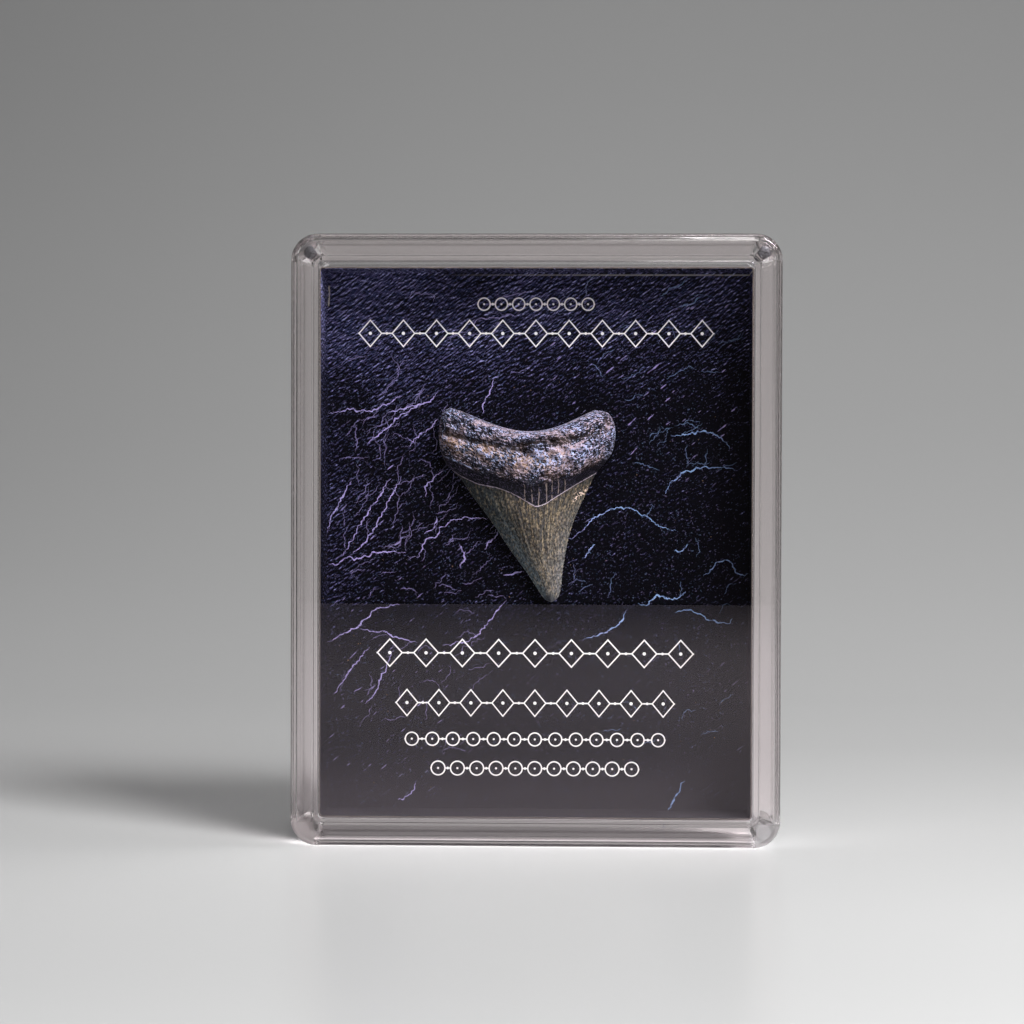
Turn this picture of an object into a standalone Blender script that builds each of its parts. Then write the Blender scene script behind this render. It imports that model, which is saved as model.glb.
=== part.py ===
"""A fossil shark tooth on a card, in a clear two-part display case that stands upright.

Metres, +Z up. The origin is the centre of the case's footprint, and the front faces -Y.
"""

import math

import bmesh
import bpy
from mathutils import Vector, noise

MM = 0.001

# The case, outside
CASE_WIDTH = 101.6 * MM
CASE_HEIGHT = 127.0 * MM
CASE_DEPTH = 18.0 * MM
CORNER_RADIUS = 5.5 * MM
RIM_RADIUS = 0.7 * MM

# The case, walls
PANE = 1.5 * MM
OUTER_WALL = 1.2 * MM
BORDER = 5.55 * MM
COMPARTMENT_WALL = 1.3 * MM
COMPARTMENT_RADIUS = 1.1 * MM
GAP = 0.3 * MM
CUT_CLEARANCE = 1.0 * MM

# Corner posts, magnets and pins
POST_RADIUS = 2.5 * MM
POST_INSET = 3.5 * MM
MAGNET_RADIUS = 1.5 * MM
MAGNET_LENGTH = 2.5 * MM
PIN_RADIUS = 1.1 * MM
PIN_REACH = 2.0 * MM

# The folded card stands on the compartment's floor, a little short of its top
CARD_THICKNESS = 0.3 * MM
CARD_TOP_DROP = 1.0 * MM

# The tooth: its place on the card, and its form
TOOTH_X = -2.1 * MM
TOOTH_Z = 70.6 * MM
TOOTH_BACK_RELIEF = 1.9 * MM
ROWS = 45
COLUMNS = 36
ENAMEL_ROW = 0.365
ROOT_RELIEF = 5.8 * MM
CROWN_RELIEF = 4.3 * MM
TIP_RELIEF = 1.1 * MM
THINNEST = 0.12 * MM

# Outline of the tooth in millimetres from its middle, from the top of each lobe down to the tip
LEFT_SIDE = [
    (-16.3, 20.6), (-17.9, 19.6), (-18.7, 15.7), (-18.3, 11.6), (-17.0, 8.6), (-14.1, 5.7),
    (-11.8, 2.3), (-7.4, -3.6), (-3.6, -9.3), (-0.2, -13.9), (2.4, -17.9), (3.8, -19.8), (5.2, -20.4),
]
RIGHT_SIDE = [
    (14.2, 20.2), (17.2, 19.4), (18.6, 16.0), (18.1, 11.8), (16.7, 9.4), (14.5, 6.8),
    (12.6, 2.9), (10.2, -2.3), (8.7, -7.2), (7.7, -12.7), (7.2, -17.1), (6.6, -19.4), (5.2, -20.4),
]
TOP_SAG = 4.7
ENAMEL_SAG = 6.3
SADDLE = 0.54

# The groove and the band under the root: how far down at the sides and at the middle, as shares of a row
GROOVE_SIDES = 0.160
GROOVE_DROP = 0.070
BAND_SIDES = 0.335
BAND_DROP = 0.085

# Pits in the root: how far along the row, how far down, radius and depth in millimetres
PITS = [
    (0.09, 0.08, 1.4, 0.55), (0.17, 0.24, 1.0, 0.50), (0.26, 0.06, 1.1, 0.50),
    (0.35, 0.20, 1.2, 0.55), (0.44, 0.05, 1.2, 0.50), (0.50, 0.13, 1.5, 0.90),
    (0.58, 0.22, 1.1, 0.50), (0.66, 0.05, 1.0, 0.45), (0.73, 0.19, 1.3, 0.60),
    (0.83, 0.07, 1.3, 0.55), (0.90, 0.22, 1.0, 0.45), (0.27, 0.27, 1.0, 0.40),
]


def clear_scene():
    for leftover in list(bpy.data.objects):
        bpy.data.objects.remove(leftover)


def make_collection(name):
    collection = bpy.data.collections.new(name)
    bpy.context.scene.collection.children.link(collection)
    return collection


def make_material(name, color, roughness, metallic=0.0, transmission=0.0):
    material = bpy.data.materials.new(name)
    material.use_nodes = True
    shader = material.node_tree.nodes["Principled BSDF"]
    shader.inputs["Base Color"].default_value = (*color, 1)
    shader.inputs["Roughness"].default_value = roughness
    shader.inputs["Metallic"].default_value = metallic
    shader.inputs["Transmission Weight"].default_value = transmission
    return material


def new_object(name, shape, collection, material=None, smooth_angle=None):
    """An object made from a bmesh, which is freed."""
    mesh = bpy.data.meshes.new(name)
    shape.normal_update()
    bmesh.ops.recalc_face_normals(shape, faces=shape.faces)
    if shape.calc_volume(signed=True) < 0:
        bmesh.ops.reverse_faces(shape, faces=shape.faces)
    shape.to_mesh(mesh)
    shape.free()
    made = bpy.data.objects.new(name, mesh)
    collection.objects.link(made)
    if material:
        mesh.materials.append(material)
    if smooth_angle:
        mesh.shade_smooth()
        mesh.set_sharp_from_angle(angle=math.radians(smooth_angle))
    return made


def rounded_box(width, height, front, back, radius, rim=0.0, rim_side=0):
    """A bmesh box from y=front to y=back, centred on the case, its four long edges rounded.

    rim rounds the outline of the face at the side given: -1 for the front, 1 for the back.
    """
    shape = bmesh.new()
    bmesh.ops.create_cube(shape, size=1)
    bmesh.ops.scale(shape, vec=(width, back - front, height), verts=shape.verts)
    middle = Vector((0, (front + back) / 2, CASE_HEIGHT / 2))
    bmesh.ops.translate(shape, vec=middle, verts=shape.verts)
    long_edges = [e for e in shape.edges if abs(e.verts[0].co.y - e.verts[1].co.y) > (back - front) / 2]
    bmesh.ops.bevel(shape, geom=long_edges, offset=radius, segments=7, profile=0.5, affect="EDGES")
    if rim_side:
        face_y = front if rim_side < 0 else back
        outline = [e for e in shape.edges if all(abs(v.co.y - face_y) < 1e-7 for v in e.verts)]
        bmesh.ops.bevel(shape, geom=outline, offset=rim, segments=3, profile=0.5, affect="EDGES")
    return shape


def cylinder(radius, start, end, x, z, segments=24):
    """A bmesh cylinder along Y between two depths."""
    shape = bmesh.new()
    bmesh.ops.create_cone(
        shape, cap_ends=True, segments=segments, radius1=radius, radius2=radius, depth=abs(end - start)
    )
    for point in shape.verts:
        x_here, y_here, z_here = point.co
        point.co = (x + x_here, (start + end) / 2 + z_here, z + y_here)
    return shape


def boolean(target, tool, operation):
    modifier = target.modifiers.new(tool.name, "BOOLEAN")
    modifier.operation = operation
    modifier.object = tool
    modifier.solver = "EXACT"


def make_tool(name, shape, cutters):
    tool = new_object(name, shape, cutters)
    tool.hide_render = True
    tool.display_type = "WIRE"
    return tool


def post_places():
    """The four corner posts: name, x, z."""
    side = CASE_WIDTH / 2 - POST_INSET
    levels = {"upper": CASE_HEIGHT - POST_INSET, "lower": POST_INSET}
    hands = {"left": -side, "right": side}
    return [(level, hand, x, z) for level, z in levels.items() for hand, x in hands.items()]


def make_half(name, side, parts, cutters, material):
    """One half of the case. side is -1 for the front half and 1 for the back half."""
    face = side * CASE_DEPTH / 2
    seam = side * GAP / 2
    floor = face - side * PANE
    past = seam - side * CUT_CLEARANCE

    def block(label, border, start, end, radius):
        width, height = CASE_WIDTH - 2 * border, CASE_HEIGHT - 2 * border
        shape = rounded_box(width, height, min(start, end), max(start, end), radius)
        return make_tool(name + label, shape, cutters)

    def round_tool(label, radius, start, end, x, z):
        return make_tool(name + label, cylinder(radius, start, end, x, z), cutters)

    shape = rounded_box(
        CASE_WIDTH, CASE_HEIGHT, min(face, seam), max(face, seam), CORNER_RADIUS, RIM_RADIUS, side
    )
    half = new_object(name, shape, parts, material, smooth_angle=40)

    # A channel runs round between the outer wall and the compartment's wall, open at the seam
    channel = block("_channel", OUTER_WALL, floor, past, CORNER_RADIUS - OUTER_WALL)
    core_start, core_end = floor + side * CUT_CLEARANCE, past - side * CUT_CLEARANCE
    core_radius = COMPARTMENT_RADIUS + COMPARTMENT_WALL
    core = block("_core", BORDER - COMPARTMENT_WALL, core_start, core_end, core_radius)
    boolean(channel, core, "DIFFERENCE")
    boolean(half, channel, "DIFFERENCE")
    boolean(half, block("_compartment", BORDER, floor, past, COMPARTMENT_RADIUS), "DIFFERENCE")

    for level, hand, x, z in post_places():
        where = f"_{level}_{hand}"
        root = floor + side * PANE / 2
        boolean(half, round_tool(where + "_post", POST_RADIUS, root, seam, x, z), "UNION")
        if level == "upper":
            bottom = seam + side * (MAGNET_LENGTH + GAP)
            pocket = round_tool(where + "_pocket", MAGNET_RADIUS + GAP, bottom, past, x, z)
            boolean(half, pocket, "DIFFERENCE")
        elif side > 0:
            bottom = seam + side * (PIN_REACH + GAP)
            socket = round_tool(where + "_socket", PIN_RADIUS + GAP, bottom, past, x, z)
            boolean(half, socket, "DIFFERENCE")
        else:
            base = seam - CUT_CLEARANCE
            boolean(half, round_tool(where + "_pin", PIN_RADIUS, base, seam + PIN_REACH, x, z), "UNION")
    return half


def make_magnets(parts, material):
    for level, hand, x, z in post_places():
        if level != "upper":
            continue
        for name, side in (("front", -1), ("back", 1)):
            start = side * GAP / 2
            shape = cylinder(MAGNET_RADIUS, start, start + side * MAGNET_LENGTH, x, z)
            new_object(f"magnet_{name}_{hand}", shape, parts, material, smooth_angle=40)


def make_card(parts, cutters, material):
    """A folded tray: the printed face, and four flanges that line the compartment up to the front pane."""
    reach = CASE_DEPTH / 2 - PANE - GAP
    inset = BORDER + GAP

    def tray_box(shrink, front, back):
        size = CASE_WIDTH - 2 * inset - 2 * shrink, CASE_HEIGHT - 2 * inset - 2 * shrink
        shape = rounded_box(*size, front, back, COMPARTMENT_RADIUS - GAP - shrink)
        for point in shape.verts:
            if point.co.z > CASE_HEIGHT / 2:
                point.co.z -= CARD_TOP_DROP
        return shape

    card = new_object("card", tray_box(0, -reach, reach), parts, material)
    room = tray_box(CARD_THICKNESS, -reach - CUT_CLEARANCE, reach - CARD_THICKNESS)
    boolean(card, make_tool("card_room", room, cutters), "DIFFERENCE")
    return card


def along(points, t):
    """A point on the smooth curve through the points, t from 0 to 1, its pace set by the distances."""
    lengths = [0.0]
    for a, b in zip(points, points[1:]):
        lengths.append(lengths[-1] + math.dist(a, b))
    wanted = t * lengths[-1]
    i = max(k for k in range(len(points) - 1) if lengths[k] <= wanted + 1e-9)
    s = (wanted - lengths[i]) / (lengths[i + 1] - lengths[i])
    p0, p1, p2, p3 = (points[min(max(i + k, 0), len(points) - 1)] for k in (-1, 0, 1, 2))
    return tuple(
        0.5 * (2 * b + (c - a) * s + (2 * a - 5 * b + 4 * c - d) * s**2 + (3 * b - a - 3 * c + d) * s**3)
        for a, b, c, d in zip(p0, p1, p2, p3)
    )


def smooth(low, high, x):
    s = min(max((x - low) / (high - low), 0), 1)
    return s * s * (3 - 2 * s)


def row_sag(u, v):
    """How far a row hangs below its chord: a saddle at the root's top, a V where the enamel starts."""
    saddle = math.sin(math.pi * u ** (math.log(0.5) / math.log(SADDLE))) ** 1.1
    chevron = min(u / SADDLE, (1 - u) / (1 - SADDLE))
    sharpness = smooth(0.15, ENAMEL_ROW, v)
    depth = TOP_SAG + (ENAMEL_SAG - TOP_SAG) * smooth(0, ENAMEL_ROW, v)
    depth *= 1 - smooth(ENAMEL_ROW, 1, v)
    return depth * (saddle * (1 - sharpness) + chevron * sharpness)


def outline_point(u, v):
    """The tooth's point in its own plane, in millimetres: u across a row, v from its top to the tip."""
    left, right = along(LEFT_SIDE, v), along(RIGHT_SIDE, v)
    x = left[0] + (right[0] - left[0]) * u
    z = left[1] + (right[1] - left[1]) * u - row_sag(u, v)
    return x, z


def front_relief(u, v):
    """The height of the rounded display side above the tooth's edge plane, in metres."""
    across = abs(2 * u - 1)
    root = ROOT_RELIEF * (1 - across**3.2) ** 0.5 * (0.86 + 0.14 * math.cos(math.pi * (u - SADDLE) * 2))
    crown_height = CROWN_RELIEF + (TIP_RELIEF - CROWN_RELIEF) * smooth(ENAMEL_ROW, 1, v)
    crown = crown_height * (1 - across**1.7)
    blend = smooth(ENAMEL_ROW - 0.16, ENAMEL_ROW + 0.03, v)
    height = root * (1 - blend) + crown * blend
    brow = min(v / 0.11, 1)
    return height * (1 - (1 - brow) ** 2) ** 0.5


def back_relief(u, v):
    """The depth of the flatter side that faces the card, in metres."""
    across = abs(2 * u - 1)
    brow = min(v / 0.08, 1)
    fade = 1 - 0.55 * smooth(ENAMEL_ROW, 1, v)
    return TOOTH_BACK_RELIEF * fade * (1 - across**2.6) ** 0.5 * (1 - (1 - brow) ** 2) ** 0.5


def root_detail(x, z, u, v):
    """Lumps, pits, groove and lower step of the root and folds of the crown, in millimetres."""
    middle = math.sin(math.pi * u)
    band_row = BAND_SIDES - BAND_DROP * middle
    groove_row = GROOVE_SIDES - GROOVE_DROP * middle + 0.008 * math.sin(23 * u)
    in_root = 1 - smooth(band_row - 0.02, band_row + 0.02, v)
    lumps = 0.7 * noise.noise(Vector((x * 0.45, z * 0.6, 3.1))) + 0.45 * noise.noise(Vector((x, z, 7.7)))
    groove = -1.0 * math.exp(-(((v - groove_row) / 0.030) ** 2)) * smooth(0.0, 0.12, middle)
    pits = 0.0
    for pit_u, pit_v, radius, depth in PITS:
        pit_x, pit_z = outline_point(pit_u, pit_v)
        away = math.hypot(x - pit_x, z - pit_z) / radius
        pits -= 1.5 * depth * math.exp(-1.6 * away**2)
    in_crown = smooth(ENAMEL_ROW, ENAMEL_ROW + 0.06, v) * (1 - smooth(0.5, 0.95, v))
    step = 0.45 * in_root + 0.12 * (1 - smooth(ENAMEL_ROW - 0.01, ENAMEL_ROW + 0.01, v))
    return (lumps + groove + pits) * in_root + step + 0.07 * math.sin(u * 40) * in_crown


def make_tooth(parts, material):
    """A loft: two skins over the same rows, joined round the outline and closed at the tip."""
    shape = bmesh.new()
    card_front = CASE_DEPTH / 2 - PANE - GAP - CARD_THICKNESS
    edge_y = card_front - GAP - TOOTH_BACK_RELIEF
    rows = [0.99 * (row / (ROWS - 1)) ** 0.93 for row in range(ROWS)]
    turns = [math.pi * (0.12 + 0.76 * column / COLUMNS) for column in range(COLUMNS + 1)]
    edge_cosine = math.cos(turns[0])
    columns = [0.5 - 0.5 * math.cos(turn) / edge_cosine for turn in turns]

    front, back = [], []
    for row, v in enumerate(rows):
        front_row, back_row = [], []
        for column, u in enumerate(columns):
            x, z = outline_point(u, v)
            place = Vector((TOOTH_X + x * MM, edge_y, TOOTH_Z + z * MM))
            if row == 0 or column in (0, COLUMNS):
                edge = shape.verts.new(place)
                front_row.append(edge)
                back_row.append(edge)
                continue
            height = front_relief(u, v)
            height += root_detail(x, z, u, v) * MM * smooth(0, ROOT_RELIEF / 2, height)
            front_row.append(shape.verts.new(place - Vector((0, max(height, THINNEST), 0))))
            back_row.append(shape.verts.new(place + Vector((0, max(back_relief(u, v), THINNEST), 0))))
        front.append(front_row)
        back.append(back_row)

    tip_x, tip_z = LEFT_SIDE[-1]
    tip = shape.verts.new((TOOTH_X + tip_x * MM, edge_y - TIP_RELIEF / 3, TOOTH_Z + tip_z * MM))
    for skin, turn in ((front, 1), (back, -1)):
        for upper, lower in zip(skin, skin[1:]):
            for c in range(COLUMNS):
                shape.faces.new((upper[c], lower[c], lower[c + 1], upper[c + 1])[::turn])
        for c in range(COLUMNS):
            shape.faces.new((skin[-1][c], tip, skin[-1][c + 1])[::turn])
    return new_object("tooth", shape, parts, material, smooth_angle=60)


def main():
    clear_scene()
    parts = make_collection("megalodon_tooth_display")
    cutters = make_collection("cutters")
    clear = make_material("clear_plastic", (0.95, 0.94, 0.94), 0.03, transmission=1.0)
    print_dark = make_material("printed_card", (0.016, 0.015, 0.026), 0.4)
    fossil = make_material("fossil_tooth", (0.14, 0.13, 0.12), 0.45)
    plated = make_material("magnet_steel", (0.12, 0.12, 0.13), 0.35, metallic=1.0)
    make_half("case_front", -1, parts, cutters, clear)
    make_half("case_back", 1, parts, cutters, clear)
    make_magnets(parts, plated)
    make_card(parts, cutters, print_dark)
    make_tooth(parts, fossil)


main()
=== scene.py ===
import math
import random

import bmesh
import bpy
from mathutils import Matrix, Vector, noise
from mathutils.geometry import delaunay_2d_cdt


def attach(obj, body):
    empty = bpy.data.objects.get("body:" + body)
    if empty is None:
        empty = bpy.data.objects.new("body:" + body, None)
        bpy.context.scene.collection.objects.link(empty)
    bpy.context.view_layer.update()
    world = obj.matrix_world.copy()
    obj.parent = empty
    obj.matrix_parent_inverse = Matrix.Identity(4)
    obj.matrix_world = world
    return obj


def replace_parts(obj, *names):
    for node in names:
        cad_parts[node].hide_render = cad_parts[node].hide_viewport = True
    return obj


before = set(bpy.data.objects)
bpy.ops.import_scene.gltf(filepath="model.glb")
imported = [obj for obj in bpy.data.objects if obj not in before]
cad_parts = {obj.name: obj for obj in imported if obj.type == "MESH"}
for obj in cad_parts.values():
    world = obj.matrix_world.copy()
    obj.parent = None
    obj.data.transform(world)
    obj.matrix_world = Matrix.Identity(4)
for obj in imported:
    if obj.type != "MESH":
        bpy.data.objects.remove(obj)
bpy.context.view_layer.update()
bpy.context.scene.view_settings.view_transform = "Standard"
mm = 0.001


# One socket of a shader graph, so that shader maths reads as an expression
class ShaderValue:
    def __init__(self, graph, socket):
        self.graph = graph
        self.socket = socket

    def maths(self, operation, first, second=0.0):
        return self.graph.add("ShaderNodeMath", {"operation": operation}, {0: first, 1: second})[0]

    def __add__(self, other):
        return self.maths("ADD", self, other)

    def __radd__(self, other):
        return self.maths("ADD", other, self)

    def __sub__(self, other):
        return self.maths("SUBTRACT", self, other)

    def __rsub__(self, other):
        return self.maths("SUBTRACT", other, self)

    def __mul__(self, other):
        return self.maths("MULTIPLY", self, other)

    def __rmul__(self, other):
        return self.maths("MULTIPLY", other, self)

    def __truediv__(self, other):
        return self.maths("DIVIDE", self, other)

    def __pow__(self, other):
        return self.maths("POWER", self, other)

    def __abs__(self):
        return self.maths("ABSOLUTE", self)


# The nodes of a material or a world
class ShaderGraph:
    def __init__(self, owner):
        owner.use_nodes = True
        self.owner = owner
        self.nodes, self.links = owner.node_tree.nodes, owner.node_tree.links
        self.nodes.clear()

    # Settings come first, then the values or links of the sockets
    def add(self, nodeType, settings=None, sockets=None):
        node = self.nodes.new(nodeType)
        for key, value in (settings or {}).items():
            if key == "stops":
                ramp = node.color_ramp
                while len(ramp.elements) < len(value):
                    ramp.elements.new(0.5)
                for element, (position, colour) in zip(ramp.elements, value):
                    element.position = position
                    element.color = (*colour, 1)
            else:
                setattr(node, key, value)
        for key, value in (sockets or {}).items():
            if isinstance(value, ShaderValue):
                self.links.new(value.socket, node.inputs[key])
            else:
                node.inputs[key].default_value = value
        return [ShaderValue(self, socket) for socket in node.outputs]

    # A smooth mask from 0 at low to 1 at high
    def step(self, value, low, high):
        settings = {"interpolation_type": "SMOOTHSTEP"}
        return self.add("ShaderNodeMapRange", settings, {0: value, 1: low, 2: high})[0]

    def mix(self, factor, first, second):
        first = (*first, 1) if isinstance(first, tuple) else first
        second = (*second, 1) if isinstance(second, tuple) else second
        return self.add("ShaderNodeMix", {"data_type": "RGBA"}, {0: factor, 6: first, 7: second})[2]

    def scale(self, colour, factor):
        return self.add("ShaderNodeVectorMath", {"operation": "SCALE"}, {0: colour, 3: factor})[0]

    def either(self, first, second):
        return self.add("ShaderNodeMath", {"operation": "MAXIMUM"}, {0: first, 1: second})[0]

    # 1 where the value is close to zero
    def near(self, value, low, high):
        return 1 - self.step(abs(value), low, high)

    # 1 inside low..high, fading over soft at both ends
    def between(self, value, low, high, soft):
        return self.step(value, low - soft, low + soft) * (1 - self.step(value, high - soft, high + soft))

    def ramp(self, value, stops):
        return self.add("ShaderNodeValToRGB", {"stops": stops}, {0: value})[0]

    # The object's own millimetres, as a pattern whose marks have the given size and turn
    def place(self, size=(1, 1, 1), turn=(0, 0, 0)):
        point = self.add("ShaderNodeTexCoord")[3]
        point = self.add("ShaderNodeVectorMath", {"operation": "SCALE"}, {0: point, 3: 1 / mm})[0]
        turn = [math.radians(angle) for angle in turn]
        return self.add("ShaderNodeMapping", {"vector_type": "TEXTURE"}, {0: point, 2: turn, 3: size})[0]

    def split(self, vector):
        return self.add("ShaderNodeSeparateXYZ", {}, {0: vector})

    def join(self, x, y, z=0.0):
        return self.add("ShaderNodeCombineXYZ", {}, {0: x, 1: y, 2: z})[0]

    def noise(self, where, scale, detail=3.0, roughness=0.5, distortion=0.0):
        sockets = {"Vector": where, "Scale": scale, "Detail": detail}
        sockets.update({"Roughness": roughness, "Distortion": distortion})
        return self.add("ShaderNodeTexNoise", {}, sockets)[0]

    def finish(self, shader, output="ShaderNodeOutputMaterial"):
        self.add(output, {}, {"Surface": shader})
        return self.owner


def newPiece(name, mesh, material, body="root"):
    piece = bpy.data.objects.new(name, mesh)
    bpy.context.scene.collection.objects.link(piece)
    mesh.materials.append(material)
    if body:
        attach(piece, body)
    return piece


def smoothShade(mesh, angle):
    mesh.shade_smooth()
    mesh.set_sharp_from_angle(angle=math.radians(angle))


# A point on the smooth curve through the points, t from 0 to 1, its pace set by the distances
def along(points, t):
    lengths = [0.0]
    for a, b in zip(points, points[1:]):
        lengths.append(lengths[-1] + math.dist(a, b))
    wanted = t * lengths[-1]
    i = max(k for k in range(len(points) - 1) if lengths[k] <= wanted + 1e-9)
    s = (wanted - lengths[i]) / (lengths[i + 1] - lengths[i])
    p0, p1, p2, p3 = (points[min(max(i + k, 0), len(points) - 1)] for k in (-1, 0, 1, 2))
    return tuple(
        0.5 * (2 * b + (c - a) * s + (2 * a - 5 * b + 4 * c - d) * s**2 + (3 * b - a - 3 * c + d) * s**3)
        for a, b, c, d in zip(p0, p1, p2, p3)
    )


def smooth(low, high, x):
    t = min(max((x - low) / (high - low), 0), 1)
    return t * t * (3 - 2 * t)


print("stage: camera")
cameraSettings = {
    "place": (0.01578, -0.59629, 0.08059),
    "turn": (88.916, -0.1588, 2.0129),
    "lens": 100, "sensor": 36, "nearest": 0.01,
}
cameraData = bpy.data.cameras.new("camera")
cameraData.lens = cameraSettings["lens"]
cameraData.sensor_width = cameraSettings["sensor"]
cameraData.clip_start = cameraSettings["nearest"]
camera = bpy.data.objects.new("camera", cameraData)
camera.location = cameraSettings["place"]
camera.rotation_euler = [math.radians(angle) for angle in cameraSettings["turn"]]
bpy.context.scene.collection.objects.link(camera)
bpy.context.scene.camera = camera


print("stage: floor and lights")
stageSettings = {
    "floorFront": -0.987, "floorMiddle": -0.3, "floorBack": 0.2, "halfWidth": 1.6,
    "sweepRadius": 0.9, "sweepSteps": 16, "wallHeight": 1.6, "smoothTo": 40,
    "albedo": 0.835, "roughness": 0.26, "floorFade": (0.0, 0.05),
    "paintedShadeLow": 0.92, "paintedShadeLowFade": (0.0, 0.1), "paintedShadeWall": 0.88, "paintedShadeWallFade": (0.05, 0.4),
    "paintedShadeLeft": 0.9, "paintedShadeLeftFade": (0.0, -0.4), "paintedShadeNear": 0.95, "paintedShadeNearFade": (-0.08, -0.17),
    "paintedLightRight": 0.03, "paintedLightRightFade": (0.02, 0.1),
}


def makeStage():
    s = stageSettings
    radius = s["sweepRadius"]
    profile = [(s["floorFront"], 0.0), (s["floorMiddle"], 0.0), (s["floorBack"], 0.0)]
    for step in range(1, s["sweepSteps"] + 1):
        a = step / s["sweepSteps"] * math.pi / 2
        profile.append((s["floorBack"] + radius * math.sin(a), radius * (1 - math.cos(a))))
    profile.append((s["floorBack"] + radius, s["wallHeight"]))
    verts, faces = [], []
    for y, z in profile:
        verts += [(-s["halfWidth"], y, z), (s["halfWidth"], y, z)]
    for i in range(len(profile) - 1):
        faces.append((2 * i, 2 * i + 1, 2 * i + 3, 2 * i + 2))
    mesh = bpy.data.meshes.new("studioSweep")
    mesh.from_pydata(verts, [], faces)
    smoothShade(mesh, s["smoothTo"])
    graph = ShaderGraph(bpy.data.materials.new("studioSweep"))
    x, y, z = graph.split(graph.add("ShaderNodeTexCoord")[3])
    aboveFloor = graph.step(z, *s["floorFade"])
    # Painted shade and light on the sweep: darker up the wall, on the left of the wall and towards the front
    # of the floor, and a painted pool of light on the floor's right
    tone = s["albedo"] * (1 - (1 - s["paintedShadeLow"]) * graph.step(z, *s["paintedShadeLowFade"]))
    tone = tone * (1 - (1 - s["paintedShadeWall"]) * graph.step(z, *s["paintedShadeWallFade"]))
    tone = tone * (1 - (1 - s["paintedShadeLeft"]) * graph.step(x, *s["paintedShadeLeftFade"]) * aboveFloor)
    tone = tone * (1 - (1 - s["paintedShadeNear"]) * graph.step(y, *s["paintedShadeNearFade"]))
    tone = tone * (1 + s["paintedLightRight"] * graph.step(x, *s["paintedLightRightFade"]) * (1 - aboveFloor))
    shader = graph.add("ShaderNodeBsdfPrincipled", {}, {
        "Base Color": graph.join(tone, tone, tone), "Roughness": s["roughness"],
    })[0]
    sweep = newPiece("studioSweep", mesh, graph.finish(shader), body=None)


lightSettings = {
    "key": {"azimuth": 38, "elevation": 40, "distance": 0.85, "size": 0.3, "power": 8.7},
    "top": {"azimuth": 60, "elevation": 80, "distance": 0.9, "size": 0.22, "power": 0.9},
}
lightTarget = Vector((0, 0, 0.05))


def makeLights():
    for name, s in lightSettings.items():
        azimuth, elevation = math.radians(s["azimuth"]), math.radians(s["elevation"])
        level = math.cos(elevation)
        away = Vector((math.sin(azimuth) * level, -math.cos(azimuth) * level, math.sin(elevation)))
        data = bpy.data.lights.new(name, "AREA")
        data.shape = "SQUARE"
        data.size = s["size"]
        data.energy = s["power"]
        lamp = bpy.data.objects.new(name, data)
        lamp.location = lightTarget + away * s["distance"]
        lamp.rotation_euler = away.to_track_quat("Z", "Y").to_euler()
        bpy.context.scene.collection.objects.link(lamp)


worldSettings = {"strength": 0.02, "seen": 0.24, "throughClear": 0.32, "paleFade": (-0.35, 0.25)}


# A room that looks pale, also through clear plastic, but adds little light of its own
def makeWorld():
    s = worldSettings
    graph = ShaderGraph(bpy.data.worlds.new("studio"))
    direction = graph.split(graph.add("ShaderNodeTexCoord")[0])
    rays = graph.add("ShaderNodeLightPath")
    cameraRay, transmissionRay = rays[0], rays[6]
    bent = graph.step(direction[1], *s["paleFade"]) * s["throughClear"] * transmissionRay
    strength = bent + (cameraRay * s["seen"] + s["strength"])
    background = graph.add("ShaderNodeBackground", {}, {"Color": (1, 1, 1, 1), "Strength": strength})[0]
    bpy.context.scene.world = graph.finish(background, "ShaderNodeOutputWorld")


makeStage()
makeLights()
makeWorld()


print("stage: clear case")
caseSettings = {
    "width": 101.6, "height": 127.0, "depth": 18.0,
    "cornerRadius": 5.5, "rimRadius": 1.2,
    "pane": 1.5, "outerWall": 1.2, "border": 5.55, "wall": 1.3, "innerRadius": 1.1,
    "gap": 0.3, "lip": 0.1, "fillet": 0.35, "sharpFillet": 0.03,
    "cornerSteps": 14, "sideSteps": 4,
    "postRadius": 2.5, "postInset": 3.5, "postSegments": 40, "cutPast": 1.5, "pinRoot": 1.0,
    "pocketRadius": 1.8, "pocketDepth": 2.8, "pinRadius": 1.1, "pinReach": 2.0, "socketRadius": 1.4,
    "bevel": 0.12, "bevelSegments": 2, "bevelFrom": 50, "smoothTo": 40, "flatFrom": 8.0,
    # How softly light passes, and where: fades in millimetres from the edges, or up the case
    "postSoft": 0.06, "lowPostSoft": 0.3, "rimSoft": 0.08,
    "postFade": (4.5, 7.0), "rimFade": (1.2, 1.8), "topFade": (40, 60), "borderFade": 0.3,
    "haze": 0.010, "lowPostHaze": 0.09, "frost": (0.78, 0.725, 0.71),
    "socketTint": (0.79, 0.80, 0.815), "socketRing": 0.35, "socketFade": (0, 10),
    "ringInner": (1.3, 1.7), "ringOuter": (2.1, 2.5),
    "ior": 1.49, "tint": (1.0, 0.981, 0.992), "edgeTint": (1.0, 0.955, 0.962),
    "glint": (1.0, 0.87, 0.96), "shadowTint": (0.93, 0.92, 0.925),
}


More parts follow.
